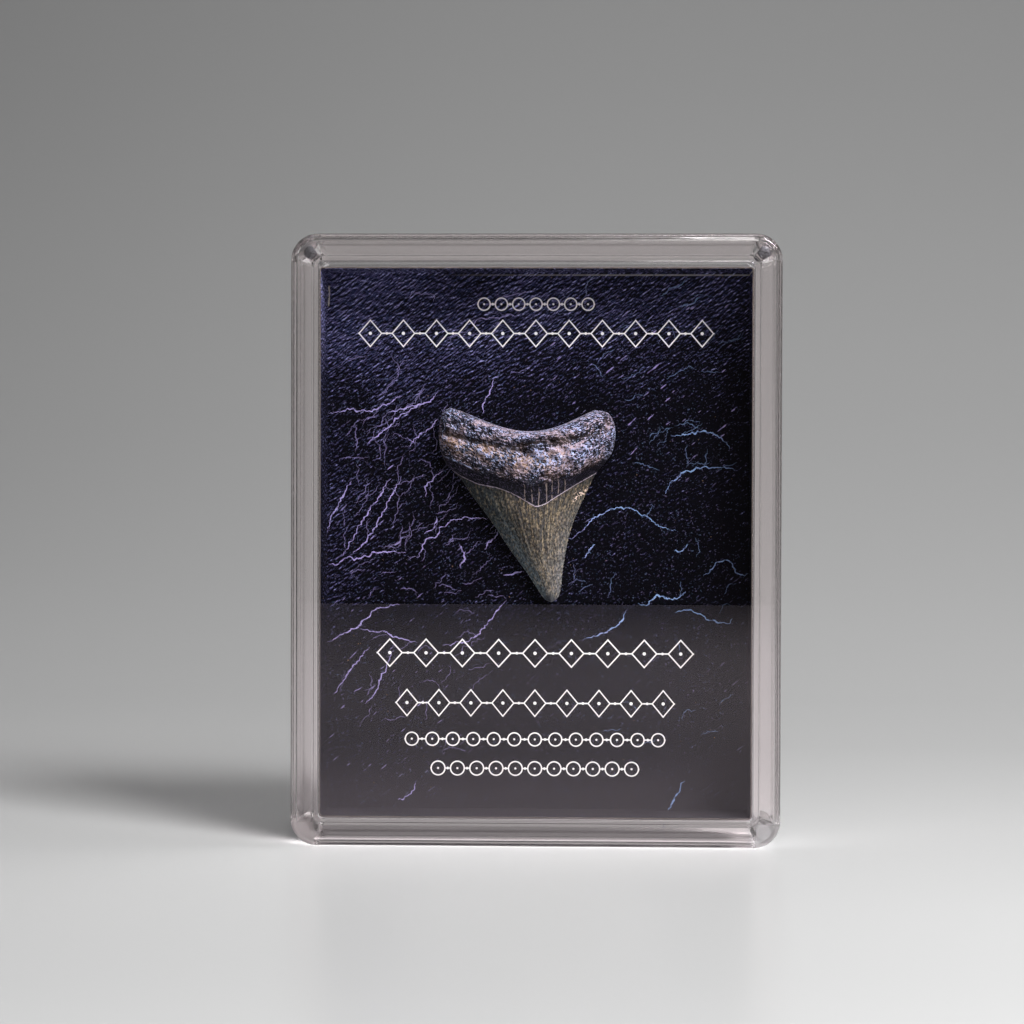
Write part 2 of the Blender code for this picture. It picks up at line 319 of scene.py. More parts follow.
def makeClearPlastic():
    s = caseSettings
    graph = ShaderGraph(bpy.data.materials.new("clearPlastic"))
    x, y, z = graph.split(graph.place())
    fromSide, fromEnd = s["width"] / 2 - abs(x), s["height"] / 2 - abs(z - s["height"] / 2)
    atTop = graph.step(z, *s["topFade"])
    softness = s["lowPostSoft"] + (s["postSoft"] - s["lowPostSoft"]) * atTop
    nearPost = (1 - graph.step(fromSide, *s["postFade"])) * (1 - graph.step(fromEnd, *s["postFade"]))
    nearEdge = graph.add("ShaderNodeMath", {"operation": "MINIMUM"}, {0: fromSide, 1: fromEnd})[0]
    nearRim = 1 - graph.step(nearEdge, *s["rimFade"])
    soft = graph.either(nearPost * softness, nearRim * s["rimSoft"])
    middle = graph.step(nearEdge, s["border"] - s["borderFade"], s["border"] + s["borderFade"])

    # The lower right post is greyer, with a ring where the pin sits in its socket
    sideways, upwards = fromSide - s["postInset"], fromEnd - s["postInset"]
    fromPin = (sideways * sideways + upwards * upwards) ** 0.5
    pinRing = graph.step(fromPin, *s["ringInner"]) * (1 - graph.step(fromPin, *s["ringOuter"]))
    socket = nearPost * (1 - atTop) * graph.step(x, *s["socketFade"])
    clearTint = graph.mix(socket, graph.mix(middle, s["edgeTint"], s["tint"]), s["socketTint"])
    clearTint = graph.mix(socket * pinRing * s["socketRing"], clearTint, (0.0, 0.0, 0.0))
    plastic = graph.add("ShaderNodeBsdfPrincipled", {}, {
        "Base Color": clearTint, "Roughness": soft,
        "IOR": s["ior"], "Transmission Weight": 1.0, "Specular Tint": (*s["glint"], 1),
    })[0]
    frost = graph.add("ShaderNodeBsdfDiffuse", {}, {0: (*s["frost"], 1)})[0]
    hazy = graph.either(s["haze"] * (1 - middle), nearPost * (1 - atTop) * s["lowPostHaze"])
    plastic = graph.add("ShaderNodeMixShader", {}, {0: hazy, 1: plastic, 2: frost})[0]
    clear = graph.add("ShaderNodeBsdfTransparent", {}, {0: (*s["shadowTint"], 1)})[0]
    shadow = graph.add("ShaderNodeLightPath")[1]
    return graph.finish(graph.add("ShaderNodeMixShader", {}, {0: shadow, 1: plastic, 2: clear})[0])


# One closed ring of points, rounded at its corners; every ring has the same number of points
def ring(inset, y, radius):
    s = caseSettings
    halfWidth, halfHeight = s["width"] / 2 - inset, s["height"] / 2 - inset
    centres = [(1, 1, 0), (-1, 1, 90), (-1, -1, 180), (1, -1, 270)]
    points = []
    for signX, signZ, start in centres:
        cx, cz = signX * (halfWidth - radius), signZ * (halfHeight - radius)
        for i in range(s["cornerSteps"] + 1):
            a = math.radians(start + 90 * i / s["cornerSteps"])
            points.append(Vector((cx + radius * math.cos(a), y, s["height"] / 2 + cz + radius * math.sin(a))))
    full = []
    for i, point in enumerate(points):
        full.append(point)
        after = points[(i + 1) % len(points)]
        if (i + 1) % (s["cornerSteps"] + 1) == 0:
            full += [point.lerp(after, k / (s["sideSteps"] + 1)) for k in range(1, s["sideSteps"] + 1)]
    return full


# The half's section from the pane's face round to the pane's inside: inset, depth, radius
def halfProfile(side):
    s = caseSettings
    face, seam = side * s["depth"] / 2, side * s["gap"] / 2
    floor = face - side * s["pane"]
    lip, fillet = s["lip"], s["fillet"]
    outer = s["cornerRadius"]
    inner = s["innerRadius"] + s["border"]
    channel = s["border"] - s["wall"]
    profile = []

    def arc(insetCentre, depthCentre, radius, start, end, base, steps):
        for i in range(steps + 1):
            a = math.radians(start + (end - start) * i / steps)
            inset = insetCentre + radius * math.cos(a)
            profile.append((inset, depthCentre + side * radius * math.sin(a), base - inset))

    rim = s["rimRadius"]
    arc(rim, face - side * rim, rim, 90, 180, outer, 6)
    arc(lip, seam + side * lip, lip, 180, 270, outer, 2)
    arc(s["outerWall"] - lip, seam + side * lip, lip, 270, 360, outer, 2)
    arc(s["outerWall"] + fillet, floor - side * fillet, fillet, 180, 90, outer, 4)
    sharp = s["sharpFillet"]
    arc(channel - sharp, floor - side * sharp, sharp, 90, 0, inner, 3)
    arc(channel + lip, seam + side * lip, lip, 180, 270, inner, 2)
    arc(s["border"] - lip, seam + side * lip, lip, 270, 360, inner, 2)
    arc(s["border"] + fillet, floor - side * fillet, fillet, 180, 90, inner, 4)
    return profile


def cylinderMesh(radius, start, end, x, z, segments=caseSettings["postSegments"]):
    shape = bmesh.new()
    bmesh.ops.create_cone(
        shape, cap_ends=True, segments=segments, radius1=radius, radius2=radius, depth=abs(end - start)
    )
    for vert in shape.verts:
        a, b, c = vert.co
        vert.co = ((x + a) * mm, ((start + end) / 2 + c) * mm, (z + b) * mm)
    bmesh.ops.recalc_face_normals(shape, faces=shape.faces)
    mesh = bpy.data.meshes.new("tool")
    shape.to_mesh(mesh)
    shape.free()
    return mesh


def combine(target, mesh, operation):
    tool = bpy.data.objects.new("tool", mesh)
    bpy.context.scene.collection.objects.link(tool)
    modifier = target.modifiers.new("combine", "BOOLEAN")
    modifier.operation, modifier.object, modifier.solver = operation, tool, "EXACT"
    applyModifiers(target)
    bpy.data.objects.remove(tool)


def applyModifiers(target):
    graph = bpy.context.evaluated_depsgraph_get()
    mesh = bpy.data.meshes.new_from_object(target.evaluated_get(graph))
    target.modifiers.clear()
    target.data = mesh


def makeHalf(name, side, material):
    s = caseSettings
    rings = [ring(*row) for row in halfProfile(side)]
    shape = bmesh.new()
    made = [[shape.verts.new(point * mm) for point in points] for points in rings]
    count = len(made[0])
    for before, after in zip(made, made[1:]):
        for i in range(count):
            shape.faces.new((before[i], before[(i + 1) % count], after[(i + 1) % count], after[i]))
    shape.faces.new(made[0])
    shape.faces.new(made[-1])
    bmesh.ops.recalc_face_normals(shape, faces=shape.faces)
    mesh = bpy.data.meshes.new(name)
    shape.to_mesh(mesh)
    shape.free()
    half = newPiece(name, mesh, material)

    seam = side * s["gap"] / 2
    past = -side * s["cutPast"]
    inside = side * (s["depth"] / 2 - s["pane"] / 2)
    for x in (-1, 1):
        for level in (-1, 1):
            postX = x * (s["width"] / 2 - s["postInset"])
            postZ = s["height"] / 2 + level * (s["height"] / 2 - s["postInset"])
            combine(half, cylinderMesh(s["postRadius"], inside, seam, postX, postZ), "UNION")
            if level > 0:
                hole = cylinderMesh(s["pocketRadius"], seam + side * s["pocketDepth"], past, postX, postZ)
                combine(half, hole, "DIFFERENCE")
            elif side > 0:
                bottom = seam + side * (s["pinReach"] + s["gap"])
                combine(half, cylinderMesh(s["socketRadius"], bottom, past, postX, postZ), "DIFFERENCE")
            else:
                pin = cylinderMesh(s["pinRadius"], seam - s["pinRoot"], seam + s["pinReach"], postX, postZ)
                combine(half, pin, "UNION")
    modifier = half.modifiers.new("softEdges", "BEVEL")
    modifier.width, modifier.segments = s["bevel"] * mm, s["bevelSegments"]
    modifier.limit_method, modifier.angle_limit = "ANGLE", math.radians(s["bevelFrom"])
    applyModifiers(half)
    smoothShade(half.data, s["smoothTo"])
    for polygon in half.data.polygons:
        polygon.use_smooth = polygon.area < s["flatFrom"] * mm * mm
    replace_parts(half, name)


clearPlastic = makeClearPlastic()
makeHalf("case_front", -1, clearPlastic)
makeHalf("case_back", 1, clearPlastic)


print("stage: card")
printSettings = {
    "strokeSize": (1.5, 1.0, 0.55), "strokeTurn": (0, -36, 0), "strokeShift": (0.12, 0, 0.42),
    "dashSize": (4.0, 1.0, 0.95), "dashTurn": (0, -40, 0), "dashShift": (0.05, 0, 0.40),
    "ink": (0.0022, 0.0021, 0.0036), "navy": (0.020, 0.025, 0.066), "violet": (0.052, 0.048, 0.112),
    "strokeBright": (0.27, 0.27, 0.47), "crackLilac": (0.30, 0.26, 0.49), "crackBlue": (0.19, 0.28, 0.48),
    "grit": 0.26, "fleck": (0.42, 0.26, 0.10), "bottomGrey": (0.085, 0.076, 0.082), "bottomGreyness": 0.3,
    "ornament": (0.80, 0.79, 0.77), "ornamentPaintedLight": (0.97, 0.96, 0.95), "ornamentMiddle": -0.4,
    "wearAndHighlight": (0.60, 0.55, 0.50), "paleFoldLine": 119.35, "wornNick": -44.35, "board": (0.10, 0.085, 0.08),
    "backDark": (0.018, 0.018, 0.022), "backPale": (0.032, 0.031, 0.036),
    "crackHalfWidth": 0.13, "crackStep": 0.25, "crackSway": 0.4, "crackJag": 0.22,
    "fineScale": 0.62, "fineStrength": 0.42, "fineTurn": 35, "fineBend": 40, "fineRun": (0.12, 0.3),
    "fineLimits": (44, 118), "fineSeed": 11, "fineSteps": 4,
    "faceFrom": 6, "weld": 1e-6, "cutWeld": 2e-7,
    "topPaintedLight": 1.1, "topFade": (102.0, 117.0), "sidePaintedLight": 0.9, "sidePaintedLightFade": (31.0, 44.0), "roughness": 0.6,
}
# The ornament's rows: height of the middle, half height, pitch, cells each side, ring or lozenge
ornamentRows = [
    (113.2, 1.5, 3.67, 3, True),
    (107.0, 2.8, 7.03, 5, False),
    (39.2, 2.9, 7.72, 4, False),
    (28.6, 2.8, 6.80, 4, False),
    (20.9, 1.6, 4.36, 6, True),
    (14.7, 1.7, 4.11, 5, True),
]
# Cracks in the printed stone, as chains of points on the card in millimetres
crackLines = [
    [(-44.5, 90.0), (-39.6, 90.9), (-34.6, 90.9), (-28.8, 93.7)],
    [(-32.1, 90.1), (-27.5, 91.2), (-23.7, 92.4), (-20.8, 94.8)],
    [(-36.0, 83.3), (-33.6, 85.4), (-28.3, 89.8), (-24.7, 91.7)],
    [(-27.5, 83.3), (-25.4, 84.8), (-21.0, 88.7)],
    [(-44.5, 64.5), (-43.6, 68.1), (-39.6, 75.8)],
    [(-41.7, 59.6), (-35.7, 69.5), (-31.1, 76.2)],
    [(-39.6, 59.9), (-36.0, 63.5), (-33.6, 67.7), (-28.8, 76.5)],
    [(-44.3, 58.2), (-42.7, 57.8), (-40.6, 59.2), (-37.4, 59.4), (-34.3, 60.5), (-27.9, 60.6)],
    [(-27.5, 59.6), (-25.4, 59.6), (-24.0, 62.8), (-21.2, 64.5), (-18.4, 67.0), (-14.8, 68.1), (-10.6, 67.9)],
    [(-24.0, 64.5), (-21.9, 65.9), (-21.2, 68.1)],
    [(-23.7, 72.3), (-23.7, 74.8), (-19.8, 78.0)],
    [(-11.6, 90.0), (-11.1, 92.8), (-9.2, 97.2)],
    [(-11.3, 61.3), (-9.9, 62.8), (-8.5, 65.2)],
    [(-16.2, 57.1), (-15.5, 59.6), (-16.2, 62.4)],
    [(-7.2, 55.7), (-5.3, 55.9), (-3.3, 56.9)],
    [(6.7, 63.3), (9.4, 65.2), (12.2, 68.1), (15.4, 69.6), (18.5, 70.0), (21.7, 69.1), (23.8, 68.1),
     (26.0, 66.1), (29.3, 65.2)],
    [(27.0, 73.2), (28.4, 75.5), (31.3, 77.6), (34.1, 78.7), (36.9, 78.8), (41.9, 78.3)],
    [(28.4, 85.0), (31.3, 85.7), (34.1, 86.1), (36.9, 85.9), (39.7, 84.7), (40.6, 82.5)],
    [(35.5, 55.5), (37.6, 57.8), (39.7, 59.0), (41.2, 58.9), (42.2, 56.4), (44.7, 56.2)],
    [(29.1, 61.3), (30.9, 61.3), (32.1, 62.4)],
    [(9.7, 59.6), (12.2, 62.4)],
    [(21.4, 49.9), (23.5, 49.7), (25.1, 51.6), (27.7, 50.9), (29.8, 50.9), (31.4, 52.5)],
    [(-44.8, 41.2), (-38.1, 44.6), (-34.4, 48.1), (-29.1, 49.4)],
    [(-20.1, 40.9), (-14.8, 41.7), (-11.6, 44.6), (-6.6, 50.5)],
    [(-37.6, 44.1), (-32.8, 43.6), (-25.4, 41.4)],
    [(-43.4, 30.3), (-39.7, 35.6), (-35.5, 40.4)],
    [(-36.6, 28.2), (-33.4, 33.0), (-30.7, 39.9)],
    [(-29.4, 7.8), (-27.0, 9.1), (-25.7, 12.0)],
    [(26.8, 4.6), (29.2, 8.6), (31.6, 12.3)],
    [(9.6, 42.0), (17.0, 45.2), (18.8, 48.3)],
    [(29.2, 48.3), (32.9, 48.3), (39.2, 45.7), (41.6, 46.5)],
    [(-14.0, 108.4), (-12.6, 109.7), (-10.5, 110.3), (-4.4, 110.8)],
    [(-8.7, 114.4), (-5.5, 115.2), (-0.5, 116.1)],
    [(-27.5, 114.5), (-26.2, 115.3), (-22.5, 115.2), (-22.2, 113.7)],
    [(10.0, 114.9), (10.1, 117.6), (11.7, 119.4)],
    [(25.8, 114.7), (28.4, 116.5), (32.1, 118.6)],
    [(29.5, 112.5), (32.1, 113.6), (34.5, 114.9)],
]


# A row of open lozenges or rings with a bead in each, joined by short dashes
def ornament(graph, x, z, row):
    height, halfHeight, pitch, cells, ringed = row
    across = x - printSettings["ornamentMiddle"]
    cell = graph.add("ShaderNodeMath", {"operation": "PINGPONG"}, {0: across + 100 * pitch, 1: pitch / 2})[0]
    up = abs(z - height)
    away = (cell * cell + up * up) ** 0.5
    if ringed:
        edge = halfHeight * 0.86
        line = graph.near(away - edge, 0.09, 0.19)
    else:
        edge = 0.34 * pitch
        line = graph.near(cell / edge + up / halfHeight - 1, 0.035, 0.10)
    bead = graph.near(away, 0.10 * halfHeight, 0.10 * halfHeight + 0.12)
    dash = graph.near(up, 0.08, 0.20) * graph.step(cell, edge, edge + 0.1)
    middleBead = graph.near(((pitch / 2 - cell) ** 2.0 + up * up) ** 0.5, 0.22, 0.34)
    inside = graph.near(across, cells * pitch + edge + 0.15, cells * pitch + edge + 0.25)
    return graph.either(graph.either(line, bead), graph.either(dash, middleBead)) * inside


# Short fine cracks that wander up to the right: zone in x and z, how many, their length and heading
fineZones = [
    (-43, -20, 84, 101, 16, 7, 38), (-43, -18, 60, 84, 34, 8, 52), (-43, -6, 50, 66, 22, 5, 35),
    (14, 43, 76, 98, 16, 6, 42), (6, 43, 50, 70, 8, 5, 35), (-43, -14, 16, 48, 20, 6, 45),
    (-20, 40, 98, 118, 18, 6, 30), (10, 43, 10, 48, 8, 5, 50),
]


def fineCracks():
    s = printSettings
    dice = random.Random(s["fineSeed"])
    farthest, highest = s["fineLimits"]
    lines = []
    for left, right, low, high, count, length, heading in fineZones:
        for _ in range(count):
            spot = Vector((dice.uniform(left, right), dice.uniform(low, high)))
            turn = math.radians(heading + dice.uniform(-s["fineTurn"], s["fineTurn"]))
            line = [tuple(spot)]
            for _ in range(s["fineSteps"]):
                spot += Vector((math.cos(turn), math.sin(turn))) * length * dice.uniform(*s["fineRun"])
                turn += math.radians(dice.uniform(-s["fineBend"], s["fineBend"]))
                line.append(tuple(spot))
            if abs(spot.x) < farthest and spot.y < highest:
                lines.append(line)
    return lines


# A crack's ragged outline as a strip of four-cornered pieces, thin at both ends
def crackStrip(line, scale=1.0):
    s = printSettings
    length = sum(math.dist(a, b) for a, b in zip(line, line[1:]))
    count = max(4, round(length / s["crackStep"]))
    spine = [Vector(along(line, i / count)) for i in range(count + 1)]
    pairs = []
    for i, point in enumerate(spine):
        run = (spine[min(i + 1, count)] - spine[max(i - 1, 0)]).normalized()
        across = Vector((-run.y, run.x))
        sway = noise.noise(Vector((point.x * 1.3, point.y * 1.3, 0.5)))
        sway += noise.noise(Vector((*(point * 0.5), 3.5)))
        swell = 0.55 + 1.4 * abs(noise.noise(Vector((point.x * 0.9, point.y * 0.9, 9.5))))
        width = s["crackHalfWidth"] * scale * swell * min(1, 0.15 + 4 * min(i, count - i) / count)
        jag = noise.noise(Vector((point.x * 4, point.y * 4, 6.5)))
        middle = point + across * (sway * s["crackSway"] + jag * s["crackJag"])
        pairs.append((middle + across * width, middle - across * width))
    return pairs


# The card's shape with its face cut along the cracks; the map holds crack strength and printed side
def makeCardMesh():
    s = printSettings
    shape = bmesh.new()
    shape.from_mesh(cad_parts["card"].data)
    bmesh.ops.remove_doubles(shape, verts=shape.verts, dist=s["weld"])
    face = [f for f in shape.faces if f.normal.y < -0.99 and f.calc_center_median().y > s["faceFrom"] * mm]
    depth = face[0].calc_center_median().y
    inFace = set(face)
    border = [e for e in shape.edges if sum(f in inFace for f in e.link_faces) == 1]
    follow = {}
    for edge in border:
        for vert in edge.verts:
            follow.setdefault(vert, []).append(edge.other_vert(vert))
    loop, last = [border[0].verts[0]], None
    while True:
        after = next(vert for vert in follow[loop[-1]] if vert != last)
        if after == loop[0]:
            break
        last = loop[-1]
        loop.append(after)
    spots = [Vector((vert.co.x, vert.co.z)) / mm for vert in loop]
    if sum(a.cross(b) for a, b in zip(spots, spots[1:] + spots[:1])) < 0:
        spots.reverse()
    pieces, strengths = [list(range(len(spots)))], [0.0]
    wide = len(crackLines)
    for k, line in enumerate(crackLines + fineCracks()):
        pairs = crackStrip(line, 1.0 if k < wide else s["fineScale"])
        for i in range(len(pairs) - 1):
            first = len(spots) + 2 * i
            pieces.append([first, first + 1, first + 3, first + 2])
            strengths.append(1.0 if k < wide else s["fineStrength"])
        for pair in pairs:
            spots += pair
    cutVerts, _, cutFaces, _, _, faceSources = delaunay_2d_cdt(spots, [], pieces, 1, 1e-5)
    bmesh.ops.delete(shape, geom=face, context="FACES_ONLY")
    layer = shape.loops.layers.uv.new("printMap")
    for f in shape.faces:
        middle = f.calc_center_median() - Vector((0, 0, caseSettings["height"] / 2 * mm))
        inward = f.normal.x * middle.x + f.normal.z * middle.z < -1e-9 or f.normal.y < -0.5
        for loop in f.loops:
            loop[layer].uv = (0.0, 1.0 if inward else 0.0)
    verts = [shape.verts.new((point.x * mm, depth, point.y * mm)) for point in cutVerts]
    for corners, sources in zip(cutFaces, faceSources):
        piece = shape.faces.new([verts[i] for i in corners])
        piece.normal_update()
        if piece.normal.y > 0:
            piece.normal_flip()
        for loop in piece.loops:
            loop[layer].uv = (max((strengths[source] for source in sources), default=0.0), 1.0)
    loose = [vert for vert in verts if not vert.link_faces]
    bmesh.ops.delete(shape, geom=loose, context="VERTS")
    bmesh.ops.remove_doubles(shape, verts=shape.verts, dist=s["cutWeld"])
    mesh = bpy.data.meshes.new("card_print")
    shape.to_mesh(mesh)
    shape.free()
    return mesh


# Noise lit from one side: the difference between two places a little apart
def embossed(graph, where, shift, detail, roughness):
    beside = graph.add("ShaderNodeVectorMath", {"operation": "ADD"}, {0: where, 1: shift})[0]
    return graph.noise(where, 1.0, detail, roughness) - graph.noise(beside, 1.0, detail, roughness)


def makeCardPrint():
    s = printSettings
    graph = ShaderGraph(bpy.data.materials.new("cardPrint"))
    inCrack, printed = graph.split(graph.add("ShaderNodeUVMap", {"uv_map": "printMap"})[0])[:2]
    plain = graph.place()
    x, y, z = graph.split(plain)
    patches = graph.noise(plain, 0.07, 3.0, 0.6)
    hue = graph.noise(plain, 0.9, 2.0)
    broken = graph.noise(plain, 1.1, 3.0, 0.7)

    # Fine strokes that rise to the right, thick at the upper left and sparse at the lower right
    strokes = embossed(graph, graph.place(s["strokeSize"], s["strokeTurn"]), s["strokeShift"], 3.0, 0.6)
    density = 0.13 * graph.step(z, 88.0, 113.0) + 0.03 * graph.step(z, 50.0, 88.0) - 0.0010 * x - 0.05
    density = density + 0.22 * (patches - 0.5) - 0.06 * graph.step(z, 50.0, 40.0)
    mask = graph.step(strokes + density, 0.05, 0.22)
    inViolet = graph.step(hue, 0.40, 0.60)
    tone = graph.mix(inViolet, s["navy"], s["violet"])
    colour = graph.mix(mask, s["ink"], tone)
    colour = graph.mix(graph.step(strokes + density * 0.7, 0.17, 0.32), colour, s["strokeBright"])

    # Longer dashes, at the right and the lower left
    dashes = embossed(graph, graph.place(s["dashSize"], s["dashTurn"]), s["dashShift"], 2.0, 0.5)
    upperRight = graph.between(x, 2.0, 44.0, 5.0) * graph.between(z, 78.0, 115.0, 5.0)
    lowerLeft = graph.between(x, -44.0, -18.0, 6.0) * graph.between(z, 14.0, 84.0, 6.0)
    where = graph.either(upperRight, lowerLeft)
    dashMask = graph.step(dashes + 0.10 * (patches - 0.5), 0.19, 0.27) * (0.10 + 0.62 * where)
    colour = graph.mix(dashMask, colour, s["crackLilac"])
    # Painted light: the print is made paler at the top and at the right, against the shadow the tray's
    # flanges cast there
    paintedLight = s["topPaintedLight"] * graph.step(z, *s["topFade"]) + s["sidePaintedLight"] * graph.step(x, *s["sidePaintedLightFade"])
    colour = graph.scale(colour, 1 + paintedLight)

    # Fine grit all over, in lilac and blue, and a paler warm grey towards the bottom
    grit = graph.step(graph.noise(graph.join(x + 70, z, y), 2.4, 2.0, 0.6), 0.62, 0.73)
    gritTone = graph.mix(inViolet, s["crackLilac"], s["crackBlue"])
    colour = graph.mix(grit * s["grit"], colour, gritTone)
    colour = graph.mix(graph.step(z, 22.0, 5.0) * s["bottomGreyness"], colour, s["bottomGrey"])

    # Cracks, paler where they swell
    crack = inCrack * (0.35 + 0.65 * graph.step(graph.noise(plain, 1.4, 3.0, 0.7), 0.36, 0.52))
    crackTone = graph.mix(graph.step(x + 30 * (hue - 0.5), -8.0, 22.0), s["crackLilac"], s["crackBlue"])
    colour = graph.mix(crack, colour, crackTone)
    specks = graph.noise(plain, 2.3, 1.0)
    colour = graph.mix(graph.step(specks, 0.795, 0.81), colour, s["fleck"])

    # A pale line along the top fold, partly the pale paper edge and partly a painted highlight, a nick at the
    # left fold and the board's bare cut edge at the front
    onFold = graph.near(z - s["paleFoldLine"], 0.10, 0.22) * graph.step(x + 16 * (broken - 0.5), -30.0, 30.0)
    onNick = graph.near(x - s["wornNick"] + 0.9 * (broken - 0.5), 0.08, 0.22)
    onNick = onNick * graph.between(z, 112.8, 117.0, 0.3)
    wearAndHighlight = graph.either(onFold * 0.6, onNick) * graph.step(broken, 0.30, 0.45)
    colour = graph.mix(wearAndHighlight, colour, s["wearAndHighlight"])
    colour = graph.mix(graph.step(y, -7.05, -7.15), colour, s["board"])

    marks = 0.0
    for row in ornamentRows:
        marks = graph.either(ornament(graph, x, z, row), marks)
    onFace = graph.step(y, 6.0, 6.3)
    # Painted light: the ornament's top row is paler, against the top flange's shadow
    ornamentWithPaintedLight = graph.mix(graph.step(z, 104.0, 112.0), s["ornament"], s["ornamentPaintedLight"])
    colour = graph.mix(marks * onFace, colour, ornamentWithPaintedLight)
    fibres = graph.noise(graph.place((2.5, 1, 0.5), (0, 20, 0)), 1.6, 4.0, 0.6)
    back = graph.mix(graph.step(fibres, 0.35, 0.65), s["backDark"], s["backPale"])
    colour = graph.mix(printed, back, colour)
    shader = graph.add("ShaderNodeBsdfPrincipled", {}, {
        "Base Color": colour, "Roughness": s["roughness"], "Specular IOR Level": 0.0,
    })[0]
    return graph.finish(shader)


card = newPiece("card_print", makeCardMesh(), makeCardPrint())
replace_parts(card, "card")


print("stage: magnets")
magnetSettings = {
    "radius": 1.5, "length": 2.5, "chamfer": 0.2, "segments": 48, "smoothTo": 40,
    "bright": (0.20, 0.20, 0.22), "dull": (0.055, 0.058, 0.066),
}


# Nickel plate, dulled in patches and lightly worn
def makeMagnetSteel():
    s = magnetSettings
    graph = ShaderGraph(bpy.data.materials.new("magnetSteel"))
    patches = graph.noise(graph.place(), 0.9, 4.0, 0.6)
    scratches = graph.noise(graph.place((1.0, 1.0, 0.12), (0, 25, 0)), 2.4, 2.0)
    dull = graph.step(patches + 0.4 * (scratches - 0.5), 0.40, 0.60)
    shader = graph.add("ShaderNodeBsdfPrincipled", {}, {
        "Base Color": graph.mix(dull, s["bright"], s["dull"]),
        "Roughness": 0.25 + 0.3 * dull, "Metallic": 1.0,
    })[0]
    return graph.finish(shader)


def makeMagnet(name, side, x, material):
    s, c = magnetSettings, caseSettings
    start = side * c["gap"] / 2
    end = start + side * s["length"]
    z = c["height"] - c["postInset"]
    shape = bmesh.new()
    shape.from_mesh(cylinderMesh(s["radius"], start, end, x, z, s["segments"]))
    rims = [edge for edge in shape.edges if abs(edge.verts[0].co.y - edge.verts[1].co.y) < 1e-6]
    bmesh.ops.bevel(shape, geom=rims, offset=s["chamfer"] * mm, segments=3, affect="EDGES", profile=0.5)
    mesh = bpy.data.meshes.new(name)
    shape.to_mesh(mesh)
    shape.free()
    smoothShade(mesh, s["smoothTo"])
    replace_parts(newPiece(name + "_disc", mesh, material), name)


magnetSteel = makeMagnetSteel()
for half, side in (("front", -1), ("back", 1)):
    for hand, x in (("left", -1), ("right", 1)):
        postX = x * (caseSettings["width"] / 2 - caseSettings["postInset"])
        makeMagnet(f"magnet_{half}_{hand}", side, postX, magnetSteel)


print("stage: tooth")
toothSettings = {
    "x": -2.1, "z": 70.6, "edgeY": 4.65, "backRelief": 1.9,
    "rows": 210, "columns": 170, "enamelRow": 0.365,
    "rootRelief": 5.8, "crownRelief": 4.3, "tipRelief": 1.1, "thinnest": 0.1,
    "topSag": 4.7, "enamelSag": 6.3, "saddle": 0.54, "apexRound": 0.12,
    "width": 37, "height": 41, "serration": 0.05, "serrationPitch": 0.62,
    "lastRow": 0.992, "rowCrowding": 0.95, "columnCrowding": 0.12, "smoothTo": 70,
}
# Outline in millimetres from the tooth's middle, from the top of each lobe down to the tip
leftSide = [
    (-16.3, 20.6), (-17.9, 19.6), (-18.7, 15.7), (-18.3, 11.6), (-17.0, 8.6), (-14.1, 5.7),
    (-11.8, 2.3), (-7.4, -3.6), (-3.6, -9.3), (-0.2, -13.9), (2.4, -17.9), (3.8, -19.8), (5.2, -20.4),
]
rightSide = [
    (14.2, 20.2), (17.2, 19.4), (18.6, 16.0), (18.1, 11.8), (16.7, 9.4), (14.5, 6.8),
    (12.6, 2.9), (10.2, -2.3), (8.7, -7.2), (7.7, -12.7), (7.2, -17.1), (6.6, -19.4), (5.2, -20.4),
]
# Lines across the face, as how far along the row and how far down:
# the enamel's edge, the root's lower border and the root's two grooves
enamelLine = [
    (0.0, 0.300), (0.03, 0.328), (0.12, 0.345), (0.20, 0.336), (0.285, 0.323), (0.37, 0.326), (0.46, 0.346),
    (0.515, 0.357), (0.575, 0.376), (0.635, 0.385), (0.735, 0.376), (0.85, 0.370), (1.0, 0.368),
]
borderLine = [
    (0.0, 0.236), (0.08, 0.243), (0.16, 0.252), (0.21, 0.268), (0.30, 0.247), (0.37, 0.243), (0.45, 0.249),
    (0.53, 0.252), (0.61, 0.252), (0.69, 0.253), (0.80, 0.283), (0.88, 0.284), (0.95, 0.305), (1.0, 0.320),
]
leftGroove = [(0.0, 0.126), (0.10, 0.122), (0.26, 0.113), (0.37, 0.108), (0.49, 0.116), (0.60, 0.13)]
rightGroove = [
    (0.28, 0.135), (0.35, 0.125), (0.46, 0.099), (0.58, 0.084), (0.68, 0.088), (0.80, 0.108), (1.0, 0.150),
]
# Pits in the root: how far along the row, how far down, radius and depth in millimetres
rootPits = [
    (0.09, 0.08, 1.4, 0.55), (0.17, 0.24, 1.0, 0.50), (0.26, 0.06, 1.1, 0.50), (0.35, 0.20, 1.2, 0.55),
    (0.44, 0.05, 1.2, 0.50), (0.50, 0.13, 1.5, 0.90), (0.58, 0.22, 1.1, 0.50), (0.66, 0.05, 1.0, 0.45),
    (0.73, 0.19, 1.3, 0.60), (0.83, 0.07, 1.3, 0.55), (0.90, 0.22, 1.0, 0.45), (0.27, 0.27, 1.0, 0.40),
]


# The height of a line at a place along it
def lineAt(points, t):
    for (t0, a), (t1, b) in zip(points, points[1:]):
        if t <= t1:
            return a + (b - a) * smooth(t0, t1, t)
    return points[-1][1]


